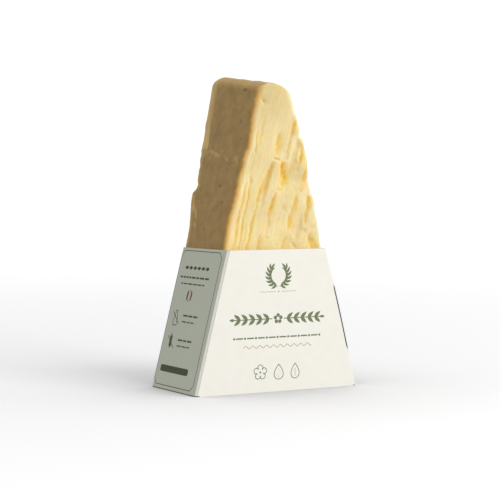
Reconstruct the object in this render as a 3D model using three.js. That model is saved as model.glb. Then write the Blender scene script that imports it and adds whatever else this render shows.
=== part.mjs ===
// A retail wedge of aged almond cheese, standing on its wide end in a tapered sleeve of folding card.
// Two sides of the wedge are clean knife cuts. The front and the back were split by hand, so they carry
// grooves, slabs and ledges that all run along one grain, parallel to the left edge.
// Millimetres, +Z up. The origin is the middle of the sleeve's base, and the front faces -Y.
import * as THREE from "three";
import { mergeVertices } from "three/addons/utils/BufferGeometryUtils.js";

const { clamp, lerp, smoothstep } = THREE.MathUtils;

// ---------------------------------------------------------------- driving dimensions

const SLEEVE = {
  baseWidth: 80,
  topWidth: 48.8,
  height: 60.6,
  depth: 41.4,
  card: 0.5, // thickness of the board
  foldRadius: 1.3,
  bow: 0.45, // how far the middle of a panel stands proud
};
const TAPER = (SLEEVE.baseWidth - SLEEVE.topWidth) / 2 / SLEEVE.height;
const SLANT = Math.hypot(1, TAPER);

const CLEARANCE = 0.4; // cheese to card, along the slanted sides
const CHEESE = {
  bottom: SLEEVE.card + 0.3,
  halfBase: SLEEVE.baseWidth / 2 - (SLEEVE.card + CLEARANCE) * SLANT,
  topAtCentre: 133.8, // height of the top plane where y is 0
  topRise: 0.125, // the top climbs towards the back
  frontLeft: 14.2, // how far the front stands from the centre plane, at the left edge
  frontRight: 5, // how much further it stands at the right edge
  frontRightTip: 1.9, // and how much more of that at the tip
  frontCrown: 1.4, // above 1, the front turns to face straight out towards its right edge
  frontHidden: 19.2, // the plain face inside the sleeve
  tipPull: 1.8, // how far the front draws back at the tip's left edge
  back: 19.5, // the back face inside the sleeve
  backShown: 0.6, // how much further the back stands above the sleeve
  backLean: 0.126, // how the back leans out above the sleeve
  room: SLEEVE.depth / 2 - SLEEVE.card - 0.35, // how far out the sleeve lets the cheese reach
  shoulderDrop: 2.3, // the chamfer along the top of the left side
  shoulderAngle: 0.62,
  plainBelow: 50, // below this the faces are plain
  brokenAbove: 61, // and from here up they are fully broken
};
// Which faces meet in an edge, and the radius of that edge.
const EDGES = [
  ["left", "front", 2.6],
  ["right", "front", 2],
  ["left", "back", 1.1],
  ["right", "back", 2],
  ["right", "top", 7],
  ["front", "top", 1.8],
  ["back", "top", 8],
  ["shoulder", "top", 1.2],
  ["left", "shoulder", 0.6],
  ["front", "shoulder", 1],
  ["back", "shoulder", 3.5],
];
const BOTTOM_EDGE = 1;

// Swells of the front's left edge.
const FRONT_WAVES = [
  { z: 102, halfLength: 9, out: 1.4 },
  { z: 73, halfLength: 7, out: -1.2 },
];

// Grooves of the front face: [start u, start z, end u, end z, half width at the start, at the end, depth].
// u is measured from the left edge, along the face, so a groove along the grain keeps its u.
const FRONT_GROOVES = [
  [2.0, 125.5, 3.8, 122, 1.0, 1.1, 0.5], // dimple below the tip
  [4.3, 121, 4.6, 104, 0.9, 0.9, 0.22], // long seams beside the left edge
  [3.2, 108, 4.0, 92, 0.8, 0.9, 0.39],
  [3.9, 92, 4.4, 56, 0.9, 1.0, 0.55],
  [7.0, 91, 7.4, 56, 0.8, 1.0, 0.44],
  [10.3, 82, 10.6, 56, 1.0, 1.1, 0.55],
  [12.6, 97.5, 10.4, 86, 1.0, 1.5, 0.72], // left flank of the broken slab
  [10.8, 88, 10.0, 78, 1.5, 1.3, 0.66],
  [12.2, 110.5, 12.9, 101, 1.3, 1.5, 0.77], // short trough above the slab
  [12.3, 99.5, 16.6, 98, 0.8, 0.8, 0.66], // ledge where the slab broke off
  [16.6, 97.4, 19.2, 89.0, 1.0, 2.0, 1.8], // deepest pit, right of the slab
  [16.8, 86.5, 16.6, 74, 1.2, 1.2, 0.72],
  [17.3, 115.5, 17.6, 102, 1.2, 1.2, 0.66],
  [22.6, 106.5, 23.8, 97, 1.2, 1.3, 0.94],
  [26.8, 96, 28.3, 87.5, 1.3, 1.4, 0.94],
  [27.2, 84, 28.0, 67.5, 1.3, 1.4, 0.83],
  [33.2, 84, 34.2, 71, 1.2, 1.3, 0.77],
  [26.8, 66.5, 26.2, 56, 1.2, 1.3, 0.66],
  [37.8, 66.5, 43.4, 59, 1.4, 2.4, 1.21],
  [15.0, 67, 15.2, 56, 1.1, 1.2, 0.55],
  [37.6, 80, 38.8, 75.4, 1.4, 1.4, 2.9], // notch in the right edge
  [-0.4, 102, -0.4, 88, 3.0, 2.8, 1.3], // where the left edge is rubbed rounder
];

// Slabs that stand proud: [left side u, right side u, top z, bottom z, height, then how soft the left side,
// the top end and the bottom end are].
const BEYOND = 60; // a right side that lies past the right edge
const FRONT_SLABS = [
  [23.9, BEYOND, 108.2, 89, 2.3, 3.5, 1.1, 8],
  [21.8, BEYOND, 108.2, 103.6, 0.9, 1.2, 1.1, 2.6],
  [17.9, BEYOND, 118, 107, 1.3, 2, 1.1, 6],
  [34.2, BEYOND, 84, 62, 1, 2, 1.1, 12],
  [13.1, 18.5, 98.4, 68, 0.9, 0.9, 0.9, 16], // the broken slab above the deepest pit
  [18.5, BEYOND, 104, 68, 0.9, 1.5, 6, 16],
];

// The back has the same kinds of groove, drawn by a rule, and the plate and nicks that show at its left edge.
const BACK = { seed: 11, grooves: 20, slabs: 4 };
const BACK_CHIP = { top: 85.2, length: 17, height: 2.4 };
const BACK_NICKS = [
  [-1, 88.2, 3, 87.4, 1.3, 1.3, 1.1],
  [-1, 96.6, 3, 95, 1.8, 1.6, 0.8],
  [0, 95, 0, 84.5, 3.5, 3.5, 0.9],
  [0, 117, 0, 112.5, 3, 3, -0.8], // a swell
];

// How many faces the solid has: across the front, through the depth, hidden rows, rows that show.
const GRID = { across: 34, through: 10, hiddenRows: 6, shownRows: 48, firstShown: 57 };
const REACH = 4; // how deep under the skin each search for the surface starts

// ---------------------------------------------------------------- noise and relief

const fract = (v) => v - Math.floor(v);
const hash = (i, j, seed) => fract(Math.sin(i * 127.1 + j * 311.7 + seed * 74.7) * 43758.5453);

function noise(x, y, seed) {
  const i = Math.floor(x);
  const j = Math.floor(y);
  const fx = smoothstep(x - i, 0, 1);
  const fy = smoothstep(y - j, 0, 1);
  const low = lerp(hash(i, j, seed), hash(i + 1, j, seed), fx);
  const high = lerp(hash(i, j + 1, seed), hash(i + 1, j + 1, seed), fx);
  return lerp(low, high, fy) * 2 - 1;
}

// A draw between 0 and 1 that is the same on every run.
const draw = (n, kind) => hash(n, kind, BACK.seed);

// A groove is a channel between two points, shallower at its ends. It drops off steeply at its left and
// climbs gently to its right.
const STEEP = 0.6;
const GENTLE = 1.6;

function groove([u0, z0, u1, z1, w0, w1, depth], u, z) {
  const length2 = (u1 - u0) ** 2 + (z1 - z0) ** 2;
  const along = ((u - u0) * (u1 - u0) + (z - z0) * (z1 - z0)) / length2;
  const t = clamp(along, 0, 1);
  const du = u - lerp(u0, u1, t);
  const flank = lerp(STEEP, GENTLE, smoothstep(du, -0.5, 0.5));
  const away = Math.hypot(du / flank, z - lerp(z0, z1, t)) / lerp(w0, w1, t);
  const fullness = 1 - 0.6 * Math.abs(2 * t - 1) ** 3;
  return -depth * fullness * Math.exp(-(away ** 2));
}

// A slab is a plate with a crisp top end, that thins out downwards.
function slab([left, right, top, bottom, height, sideSoft, topSoft, bottomSoft], u, z) {
  const across = smoothstep(u - left, -sideSoft, 0.9) * (1 - smoothstep(u - right, -0.9, 0.9));
  const begin = smoothstep(top - z, -topSoft, topSoft);
  return height * across * begin * smoothstep(z - bottom, 0, bottomSoft);
}

// Unevenness between the grooves, drawn out along the grain and stronger away from the left edge.
function roughness(u, z, seed) {
  const crumbly = smoothstep(u, 8, 20) * (1 - smoothstep(z, 108, 122));
  const waves = noise(u / 6, z / 12, seed) * 0.3;
  const crumbs = noise(u / 3.6, z / 7, seed + 3) * 0.4;
  return waves + crumbly * crumbs;
}

function frontRelief(u, z) {
  let relief = roughness(u, z, 3) + 0.5 * Math.exp(-(((u - 1.2) / 1.8) ** 2));
  for (const one of FRONT_GROOVES) relief += groove(one, u, z);
  for (const one of FRONT_SLABS) relief += slab(one, u, z);
  return relief;
}

const widthAt = (z) => 2 * (CHEESE.halfBase - TAPER * z);

const BACK_GROOVES = Array.from({ length: BACK.grooves }, (_, n) => {
  const z = lerp(64, 122, fract(n * 0.618));
  const u = lerp(2, Math.max(4, widthAt(z) - 1), draw(n, 1));
  const length = lerp(6, 22, draw(n, 2));
  const wide = lerp(1.1, 1.7, draw(n, 3));
  return [u, z + length / 2, u + lerp(-1, 1, draw(n, 4)), z - length / 2, wide, wide, wide * 0.65];
});
const BACK_SLABS = Array.from({ length: BACK.slabs }, (_, n) => {
  const top = lerp(72, 120, (n + 0.5) / BACK.slabs);
  const side = lerp(6, 0.6 * widthAt(top), draw(n, 6));
  return [side, BEYOND, top, top - 18, lerp(0.8, 1.8, draw(n, 7)), 0.9, 1.2, 12];
});

function edgeChips(u, z) {
  const { top, length, height } = BACK_CHIP;
  const start = smoothstep(top - z, -1.1, 1.1);
  const end = smoothstep(z, top - length, top);
  let relief = height * start * end * Math.exp(-((u / 9) ** 2));
  for (const one of BACK_NICKS) relief += groove(one, u, z);
  return relief;
}

function backRelief(u, z) {
  let relief = roughness(u, z, 40) + edgeChips(u, z);
  const inside = smoothstep(u, 3, 7); // the left edge keeps only its own chips
  for (const one of BACK_GROOVES) relief += inside * groove(one, u, z);
  for (const one of BACK_SLABS) relief += inside * slab(one, u, z);
  return relief;
}

// ---------------------------------------------------------------- the wedge as distances to its faces

const leftX = (z) => -CHEESE.halfBase + TAPER * z;
const topZ = (y) => CHEESE.topAtCentre + CHEESE.topRise * y;
const shown = (z) => smoothstep(z, CHEESE.plainBelow, CHEESE.brokenAbove); // 0 inside the sleeve, 1 above it

// How far the sleeve lets the cheese reach from the centre plane: as far as it likes above the sleeve.
const limit = (z) => CHEESE.room + 4 * Math.max(0, z - SLEEVE.height);

const plainBack = (z) => CHEESE.back + CHEESE.backLean * Math.max(0, z - SLEEVE.height);

function frontY(x, z) {
  const u = x - leftX(z);
  const across = clamp(u / Math.max(widthAt(z), 1), 0, 1);
  const crown = 1 - (1 - across) ** CHEESE.frontCrown;
  const spread = CHEESE.frontRight + CHEESE.frontRightTip * smoothstep(z, 85, 122); // towards the right edge
  let swell = -CHEESE.tipPull * smoothstep(z, 107, 119);
  for (const wave of FRONT_WAVES) swell += wave.out * Math.exp(-(((z - wave.z) / wave.halfLength) ** 2));
  const plain = -(CHEESE.frontLeft + swell * (1 - across) + spread * crown);
  const y = lerp(-CHEESE.frontHidden, plain - frontRelief(u, z), shown(z));
  return Math.max(y, -limit(z));
}

function backY(x, z) {
  const y = plainBack(z) + shown(z) * (backRelief(x - leftX(z), z) + CHEESE.backShown);
  return Math.min(y, limit(z));
}

// The larger of two distances, with the edge between the two faces rounded.
function rounded(a, b, radius) {
  const out = Math.hypot(Math.max(a + radius, 0), Math.max(b + radius, 0));
  return Math.min(-radius, Math.max(a, b)) + out;
}

// The knife cut has gentle waves and one ragged score across it.
function cutWaves(y, z) {
  const score = z - 99.4 - 0.14 * y - noise(y / 3.2, 0, 21);
  const step = smoothstep(score, -0.6, 0.6) * (1 - smoothstep(score, 0, 9));
  return 0.15 * noise(y / 9, z / 14, 17) + 0.25 * step;
}

function distance(p) {
  const top = topZ(p.y);
  const rise = p.z - top + CHEESE.shoulderDrop;
  const inward = p.x - leftX(top);
  const face = {
    left: (leftX(p.z) - p.x) / SLANT - shown(p.z) * cutWaves(p.y, p.z),
    right: (p.x + leftX(p.z)) / SLANT,
    front: frontY(p.x, p.z) - p.y,
    back: p.y - backY(p.x, p.z),
    top: p.z - top - 0.35 * noise(p.x / 5, p.y / 6, 31),
    shoulder: rise * Math.cos(CHEESE.shoulderAngle) - inward * Math.sin(CHEESE.shoulderAngle),
  };
  const body = Math.max(...EDGES.map(([one, two, radius]) => rounded(face[one], face[two], radius)));
  return rounded(body, CHEESE.bottom - p.z, BOTTOM_EDGE);
}

// ---------------------------------------------------------------- the cheese's mesh

// Cube face coordinates run from -1 to 1, and lie closer together at the edges.
const crowd = (t) => 0.5 * t + 0.5 * Math.sin((t * Math.PI) / 2);

function heightAt(t, y) {
  const rows = GRID.hiddenRows + GRID.shownRows;
  const split = GRID.hiddenRows / rows;
  const row = (t + 1) / 2;
  if (row < split) return lerp(CHEESE.bottom, GRID.firstShown, row / split);
  return lerp(GRID.firstShown, topZ(y), (row - split) / (1 - split));
}

function boxPoint(a, b, c) {
  const yGuess = lerp(-CHEESE.frontHidden, CHEESE.back, (b + 1) / 2);
  const z = heightAt(c, yGuess);
  const y = lerp(-CHEESE.frontHidden, plainBack(z), (b + 1) / 2);
  return new THREE.Vector3(lerp(leftX(z), -leftX(z), (a + 1) / 2), y, z);
}

// Walks out from a point under the skin until it meets the surface.
function skinPoint(a, b, c) {
  const outer = boxPoint(a, b, c);
  const inner = outer.clone();
  inner.z = clamp(outer.z, CHEESE.bottom + REACH, topZ(outer.y) - REACH);
  const half = -leftX(inner.z) - REACH;
  inner.x = clamp(outer.x, -half, half);
  inner.y = clamp(outer.y, -CHEESE.frontLeft + REACH, plainBack(inner.z) - REACH);
  let near = 0;
  let far = 3;
  const p = new THREE.Vector3();
  for (let i = 0; i < 28; i++) {
    const t = (near + far) / 2;
    if (distance(p.lerpVectors(inner, outer, t)) < 0) near = t;
    else far = t;
  }
  return p.lerpVectors(inner, outer, near);
}

function cheeseGeometry() {
  const box = new THREE.BoxGeometry(2, 2, 2, GRID.across, GRID.through, GRID.hiddenRows + GRID.shownRows);
  box.deleteAttribute("normal");
  box.deleteAttribute("uv");
  const merged = mergeVertices(box, 1e-5);
  const position = merged.getAttribute("position");
  for (let i = 0; i < position.count; i++) {
    const p = skinPoint(crowd(position.getX(i)), crowd(position.getY(i)), position.getZ(i));
    position.setXYZ(i, p.x, p.y, p.z);
  }
  merged.computeVertexNormals();
  return merged;
}

// ---------------------------------------------------------------- the sleeve

// One level of the tapered tube: a rectangle with rounded corners, whose straight sides can bow out.
function level(z, inset, { bow = 0, sideInset = 0 } = {}) {
  const halfX = SLEEVE.baseWidth / 2 - TAPER * z - inset * SLANT - sideInset;
  const halfY = SLEEVE.depth / 2 - inset;
  const radius = Math.max(SLEEVE.foldRadius - inset, 0.5);
  const arcSteps = 5;
  const sideSteps = 6;
  const corners = [
    [1, -1, -Math.PI / 2],
    [1, 1, 0],
    [-1, 1, Math.PI / 2],
    [-1, -1, Math.PI],
  ];
  const points = [];
  corners.forEach(([sx, sy, start], i) => {
    const cx = sx * (halfX - radius);
    const cy = sy * (halfY - radius);
    for (let k = 0; k <= arcSteps; k++) {
      const angle = start + ((Math.PI / 2) * k) / arcSteps;
      points.push(new THREE.Vector3(cx + radius * Math.cos(angle), cy + radius * Math.sin(angle), z));
    }
    const from = points[points.length - 1].clone();
    const [nx, ny, nextStart] = corners[(i + 1) % 4];
    const to = new THREE.Vector3(nx * (halfX - radius), ny * (halfY - radius), z);
    to.x += radius * Math.cos(nextStart);
    to.y += radius * Math.sin(nextStart);
    for (let k = 1; k < sideSteps; k++) {
      const p = from.clone().lerp(to, k / sideSteps);
      const out = bow * Math.sin((Math.PI * k) / sideSteps);
      p.x += out * Math.cos(nextStart);
      p.y += out * Math.sin(nextStart);
      points.push(p);
    }
  });
  return points;
}

// Joins levels of equal length into one closed skin, with a flat cap at each end.
function loft(levels) {
  const count = levels[0].length;
  const vertices = levels.flat();
  const index = [];
  for (let row = 0; row < levels.length - 1; row++) {
    for (let i = 0; i < count; i++) {
      const a = row * count + i;
      const b = row * count + ((i + 1) % count);
      index.push(a, b, b + count, a, b + count, a + count);
    }
  }
  const last = (levels.length - 1) * count;
  for (let i = 1; i < count - 1; i++) {
    index.push(0, i + 1, i);
    index.push(last, last + i, last + i + 1);
  }
  const geometry = new THREE.BufferGeometry().setFromPoints(vertices);
  geometry.setIndex(index);
  geometry.computeVertexNormals();
  return geometry;
}

function sleeveGeometry() {
  const { height, card, bow } = SLEEVE;
  const rows = 6;
  const slit = { depth: 0.4, z: 0.35, half: 0.2 }; // where the base panel tucks under the side panels
  const outside = [
    level(0, 0.1),
    level(slit.z - slit.half, 0),
    level(slit.z, 0, { sideInset: slit.depth }),
    level(slit.z + slit.half, 0),
  ];
  const inside = [];
  for (let row = 1; row <= rows; row++) {
    const z = lerp(slit.z, height, row / rows);
    const bulge = bow * Math.sin((Math.PI * row) / rows);
    outside.push(level(z, 0, { bow: bulge }));
    inside.unshift(level(z, card, { bow: bulge }));
  }
  inside.push(level(card, card));
  return loft([...outside, ...inside]);
}

// ---------------------------------------------------------------- the object

const cheeseMaterial = new THREE.MeshStandardMaterial({ color: 0xf0d898, roughness: 0.55, metalness: 0 });
const cardMaterial = new THREE.MeshStandardMaterial({ color: 0xf2f0e4, roughness: 0.8, metalness: 0 });

const cheese = new THREE.Mesh(cheeseGeometry(), cheeseMaterial);
cheese.name = "cheese_wedge";

const sleeve = new THREE.Mesh(sleeveGeometry(), cardMaterial);
sleeve.name = "card_sleeve";

const wedgeInSleeve = new THREE.Group();
wedgeInSleeve.add(sleeve, cheese);

export default wedgeInSleeve;
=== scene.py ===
"""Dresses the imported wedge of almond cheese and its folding-card sleeve.

The wedge is carved again with its fine relief, the sleeve is folded from thin board, and the print
lies on the sleeve as films of ink. Sizes are in millimetres here, and MM turns them into Blender's
metres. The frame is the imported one: +Z is up, the sleeve's front panel faces -Y, and the wedge's
smooth side faces -X.
"""
import math

import bpy
import numpy as np
from mathutils import Matrix, Vector


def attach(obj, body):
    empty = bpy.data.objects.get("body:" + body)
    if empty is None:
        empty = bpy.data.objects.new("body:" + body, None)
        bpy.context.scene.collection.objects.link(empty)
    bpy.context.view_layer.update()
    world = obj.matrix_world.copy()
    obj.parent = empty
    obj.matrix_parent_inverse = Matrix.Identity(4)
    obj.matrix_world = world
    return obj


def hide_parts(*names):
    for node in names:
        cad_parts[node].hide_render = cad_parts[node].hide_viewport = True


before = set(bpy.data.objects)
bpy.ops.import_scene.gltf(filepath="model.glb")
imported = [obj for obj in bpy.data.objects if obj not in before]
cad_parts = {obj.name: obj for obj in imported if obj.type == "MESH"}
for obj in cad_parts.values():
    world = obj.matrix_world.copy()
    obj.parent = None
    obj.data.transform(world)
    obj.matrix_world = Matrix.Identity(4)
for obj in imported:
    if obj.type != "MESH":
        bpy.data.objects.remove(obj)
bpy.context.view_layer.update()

bl_info = {
    "name": "Cheese Wedge in a Card Sleeve",
    "version": (1, 0, 0),
    "blender": (4, 5, 0),
    "location": "View3D > Sidebar > Cheese",
    "description": "Carves a wedge of hard almond cheese, folds its card sleeve and prints it",
    "category": "Object",
}

MM = 0.001
BODY = "root"
WEDGE_NODE = "cheese_wedge"
SLEEVE_NODE = "card_sleeve"


def linear(hex_colour):
    """Turns an sRGB hex colour into the linear colour that Blender's sockets hold."""
    channels = [int(hex_colour[i:i + 2], 16) / 255 for i in (1, 3, 5)]
    return tuple(c / 12.92 if c <= 0.04045 else ((c + 0.055) / 1.055) ** 2.4 for c in channels)


# ---------------------------------------------------------------- sizes and colours to change

def colour(name, description, hex_colour):
    return bpy.props.FloatVectorProperty(
        name=name, description=description, subtype="COLOR", size=3, min=0, max=1,
        default=linear(hex_colour))


def length(name, description, millimetres):
    return bpy.props.FloatProperty(
        name=name, description=description, unit="LENGTH", subtype="DISTANCE", min=0,
        default=millimetres * MM)


def amount(name, description, value, least=0, most=1000, **kind):
    return bpy.props.FloatProperty(
        name=name, description=description, min=least, max=most, default=value, **kind)


class WedgeSettings(bpy.types.PropertyGroup):
    """The look of the cheese."""
    broken: colour("Broken face", "Freshly split cheese", "#f9e4af")
    # Rims: painted glow where the lit split face turns into the shaded cut side, and a fainter band of it
    # along the top end.
    rim: colour("Rims", "Waxy edge between a split and a dried face", "#f0c26a")
    # Hollows: golden painted shade in the grooves and on flanks away from the light, partly the yellower
    # colour of freshly split cheese.
    golden_hollow_shade: colour("Hollows", "Cheese deep in a groove", "#fbcd42")
    # Cut side and stains: the tan of the dried knife cut, darkened further as painted shade of the side that
    # faces away from the light.
    cut: colour("Cut side", "Knife-cut side, dried to tan", "#be9955")
    stain: colour("Stains", "Darker blotches of the cut side", "#ac8847")
    # Right edge: painted light, which makes the split faces paler where they turn towards the light at the
    # right.
    pale: colour("Right edge", "Freshest, palest part of the split faces", "#fff2cb")
    # Pinholes: painted shade inside the pinholes.
    pit: colour("Pinholes", "Shaded oil in the pinholes of the cut side", "#836733")
    # Chips: pale cheese in the chips, also used for a painted highlight along the cut side's back edge.
    chip_and_highlight: colour("Chips", "Small chips off the cut side's edges", "#efce85")
    relief: amount("Fine relief", "Strength of the crumbs and fibres on the broken faces", 1, most=2)


class SleeveSettings(bpy.types.PropertyGroup):
    """The folding card and its print."""
    board: colour("Board", "Outside of the uncoated cream board", "#f7f5ea")
    # Side panels: pale sage tint, darkened further as painted shade of the side panels.
    side: colour("Side panels", "Pale sage tint of the side panels", "#dadec9")
    core: colour("Cut edge", "Fibres at the board's cut edge and inside", "#e9e2cd")
    # Tucked edge: painted shade in the gap where the base tucks in.
    tuck: colour("Tucked edge", "Grey board in the gap where the base tucks in", "#8c907c")
    dark_ink: colour("Dark ink", "Deep sage ink of the front", "#76805f")
    # Side ink: darker than the front's sage ink, as painted shade of the side panels.
    side_ink_shaded: colour("Side ink", "Dark olive ink of the side panels", "#4d5540")
    rule_ink: colour("Rule ink", "Near-black ink of the rule at the right fold", "#262922")
    pale_ink: colour("Pale ink", "Beige ink of the second line", "#c3b89a")
    red_ink: colour("Red ink", "Red stripe of the roundel", "#a8404a")
    thickness: length("Board", "Thickness of the folding board", 0.5)


class StageSettings(bpy.types.PropertyGroup):
    """The floor, the lights and the camera."""
    floor: colour("Floor", "Plain pale floor that sweeps up behind", "#f7f7f7")
    key: amount("Key", "Power of the high light in front", 8.5, unit="POWER")
    front: amount("Front", "Power of the low light in front", 5.3, unit="POWER")
    fill: amount("Fill", "Brightness of the room", 0.5)
    focal: amount("Lens", "Focal length in mm", 115, least=1, unit="CAMERA", subtype="DISTANCE_CAMERA")


# ---------------------------------------------------------------- shapes of the relief

def smooth(x, low, high):
    t = np.clip((x - low) / (high - low), 0, 1)
    return t * t * (3 - 2 * t)


def lerp(a, b, t):
    return a + (b - a) * t


def lattice(i, j, seed):
    value = np.sin(i * 127.1 + j * 311.7 + seed * 74.7) * 43758.5453
    return value - np.floor(value)


def noise(x, y, seed):
    """Smooth noise between -1 and 1, the same on every run."""
    i, j = np.floor(x), np.floor(y)
    fx, fy = smooth(x - i, 0, 1), smooth(y - j, 0, 1)
    low = lerp(lattice(i, j, seed), lattice(i + 1, j, seed), fx)
    high = lerp(lattice(i, j + 1, seed), lattice(i + 1, j + 1, seed), fx)
    return lerp(low, high, fy) * 2 - 1


SLEEVE = dict(base=80.0, top=48.8, height=60.6, depth=41.4, fold=1.3, bow=0.4, fold_bow=0.5)
TAPER = (SLEEVE["base"] - SLEEVE["top"]) / 2 / SLEEVE["height"]
SLANT = math.hypot(1, TAPER)
CLEARANCE = 0.9  # outside of the card to the cheese, along the slanted sides
SHOWN = (50, 61)  # the faces are plain below the first height, and broken above the second

# The wedge's plain faces, as in the part: distances from the centre plane and heights.
HALF_BASE = SLEEVE["base"] / 2 - CLEARANCE * SLANT
BOTTOM = 0.8
TOP, TOP_RISE = 133.8, 0.125
FRONT_LEFT, FRONT_RIGHT, FRONT_RIGHT_TIP, FRONT_HIDDEN = 14.2, 5.0, 1.9, 19.2
FRONT_TURNS = (85, 122)  # heights between which the front turns further round towards its tip
FRONT_WAVES = ((102.0, 9.0, 1.4), (73.0, 7.0, -1.2))  # swells of the left edge: height, half length, how far
FRONT_CROWN = 1.4  # above 1, the front turns to face straight out towards its right edge
TIP_PULL = 1.8  # how far the front draws back at the tip's left edge
TIP_PULLS = (107, 119)  # heights between which it draws back
BACK, BACK_SHOWN, BACK_LEAN = 19.5, 0.6, 0.126
ROOM = SLEEVE["depth"] / 2 - 0.85  # how far out the sleeve lets the cheese reach
CORE_HALF = 4  # no relief reaches this close to the centre plane
SHOULDER_DROP, SHOULDER_ANGLE = 2.3, 0.62
# Which faces meet in an edge, and its radius.
EDGES = (
    ("left", "front", 2.6), ("right", "front", 2.0), ("left", "back", 1.1), ("right", "back", 2.0),
    ("right", "top", 7.0), ("front", "top", 1.8), ("back", "top", 8.0), ("shoulder", "top", 1.2),
    ("left", "shoulder", 0.6), ("front", "shoulder", 1.0), ("back", "shoulder", 3.5),
)
BOTTOM_EDGE = 1.0

# Grooves of the front: start u and z, end u and z, half width at the start and at the end, depth.
# u is the distance from the left edge along the face, and the grain keeps its u.
FRONT_GROOVES = (
    (2.0, 125.4, 3.7, 122.6, 0.8, 0.9, 0.45),  # dimple below the tip
    (4.7, 119.0, 4.9, 105.0, 0.45, 0.45, 0.24),  # seams beside the left edge
    (3.1, 110.4, 4.2, 100.5, 0.36, 0.45, 0.46),
    (4.0, 100.0, 4.4, 93.0, 0.36, 0.45, 0.27),
    (0.6, 96.0, 1.8, 88.5, 0.35, 0.3, 0.25),
    (0.3, 87.0, 0.6, 83.5, 0.3, 0.25, 0.18),
    (4.4, 92.0, 5.6, 88.5, 0.54, 0.45, 0.41),
    (3.6, 88.5, 4.4, 57.0, 0.45, 0.63, 0.68),
    (5.7, 90.0, 6.9, 57.0, 0.36, 0.54, 0.61),
    (8.8, 82.0, 9.4, 75.5, 0.27, 0.27, 0.24),
    (8.0, 72.0, 8.2, 57.0, 0.31, 0.36, 0.27),
    (10.5, 79.0, 10.4, 57.0, 0.45, 0.63, 0.68),
    (12.7, 97.0, 10.6, 85.0, 0.6, 1.2, 0.65),  # left flank of the broken slab
    (10.6, 87.0, 10.2, 80.0, 1.26, 0.9, 0.61),
    (12.2, 110.0, 12.9, 101.5, 1.0, 1.1, 0.65),  # trough above the slab
    (12.3, 99.5, 16.6, 98.0, 0.4, 0.5, 0.6),  # ledge where the slab broke off
    (16.6, 97.4, 19.3, 89.0, 0.8, 1.8, 1.8),  # deepest pit, right of the slab
    (17.2, 86.4, 19.2, 85.4, 0.7, 0.6, 0.34),
    (16.8, 84.0, 16.9, 74.5, 0.85, 0.95, 0.7),
    (17.3, 73.5, 18.6, 70.0, 0.6, 0.6, 0.25),
    (17.2, 115.3, 17.5, 109.0, 0.85, 0.9, 0.7),
    (17.4, 108.5, 17.5, 102.0, 0.7, 0.6, 0.34),
    (19.8, 116.5, 21.2, 112.0, 0.6, 0.6, 0.34),
    (23.1, 104.4, 23.9, 97.0, 0.95, 0.9, 0.99),
    (27.3, 96.3, 28.4, 87.6, 0.95, 1.1, 0.99),
    (27.4, 95.7, 31.5, 94.5, 0.35, 0.35, 0.34),
    (27.6, 86.8, 28.6, 84.6, 0.9, 0.8, 0.45),
    (27.2, 83.0, 27.5, 76.2, 0.95, 1.0, 0.84),
    (27.1, 75.2, 28.2, 68.4, 1.1, 0.95, 0.9),
    (32.8, 83.2, 33.8, 77.0, 0.85, 0.85, 0.79),
    (33.6, 76.6, 34.4, 71.3, 0.75, 0.65, 0.65),
    (34.8, 68.8, 35.8, 67.6, 0.6, 0.6, 0.4),
    (27.2, 66.2, 26.6, 57.0, 0.8, 0.9, 0.65),
    (15.2, 66.0, 15.4, 56.0, 0.75, 0.95, 0.59),
    (38.2, 65.8, 42.5, 59.5, 0.9, 2.1, 1.19),
    (22.2, 83.6, 22.2, 82.0, 0.5, 0.5, 0.25),
    (22.4, 79.0, 22.5, 77.5, 0.6, 0.6, 0.3),
    (22.3, 74.0, 22.3, 73.0, 0.5, 0.5, 0.22),
    (30.5, 63.4, 33.5, 61.0, 0.6, 0.9, 0.4),
    (37.6, 80.0, 38.8, 75.4, 1.2, 1.2, 2.9),  # notch in the right edge
)
WORN_EDGE = (-0.4, 102.0, -0.4, 88.0, 3.0, 2.8, 1.3)  # stretch of the left edge that is rubbed rounder

BEYOND = 60.0  # further right than the wedge reaches
# Slabs that stand proud: left and right side u, top and bottom z, height, then how soft the left side,
# the top end and the bottom end are.
FRONT_SLABS = (
    (23.9, BEYOND, 108.2, 89.0, 2.3, 3.5, 0.8, 8.0),
    (21.8, BEYOND, 108.2, 103.6, 0.9, 1.2, 0.8, 2.6),
    (17.9, BEYOND, 118.0, 107.0, 1.3, 2.0, 0.8, 6.0),
    (34.2, BEYOND, 84.0, 62.0, 1.0, 2.0, 0.8, 12.0),
    (13.1, 18.5, 98.4, 68.0, 0.9, 0.7, 0.6, 16.0),  # the broken slab above the deepest pit
    (18.5, BEYOND, 104.0, 68.0, 0.9, 1.5, 6.0, 16.0),
)
# Crumbs that cling to the front: u, z, half size, height.
FRONT_CRUMBS = (
    (19.2, 66.2, 0.9, 0.35), (21.0, 64.0, 0.6, 0.3), (31.0, 65.3, 0.9, 0.35), (29.0, 70.5, 0.5, 0.2),
    (24.5, 63.0, 0.6, 0.25), (35.5, 63.5, 0.6, 0.25), (22.0, 88.0, 0.5, 0.2), (19.5, 80.0, 0.5, 0.18),
)

BACK_SEED = 11
BACK_COARSE, BACK_FINE, BACK_PLATES = range(20), range(30, 62), 4  # draws of its grooves, and its plates
SPREAD = 0.618  # step of the draws' heights, which spreads them evenly
BACK_CHIP = (85.2, 17.0, 2.4)  # top z, length, height of the plate at the left edge
BACK_NICKS = (  # grooves that nick the left edge
    (-1.0, 88.2, 3.0, 87.4, 1.2, 1.2, 1.1),
    (-1.0, 96.6, 3.0, 95.0, 1.8, 1.6, 0.8),
    (0.0, 95.0, 0.0, 84.5, 3.5, 3.5, 0.9),
    (0.0, 117.0, 0.0, 112.5, 3.0, 3.0, -0.8),
)

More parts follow.
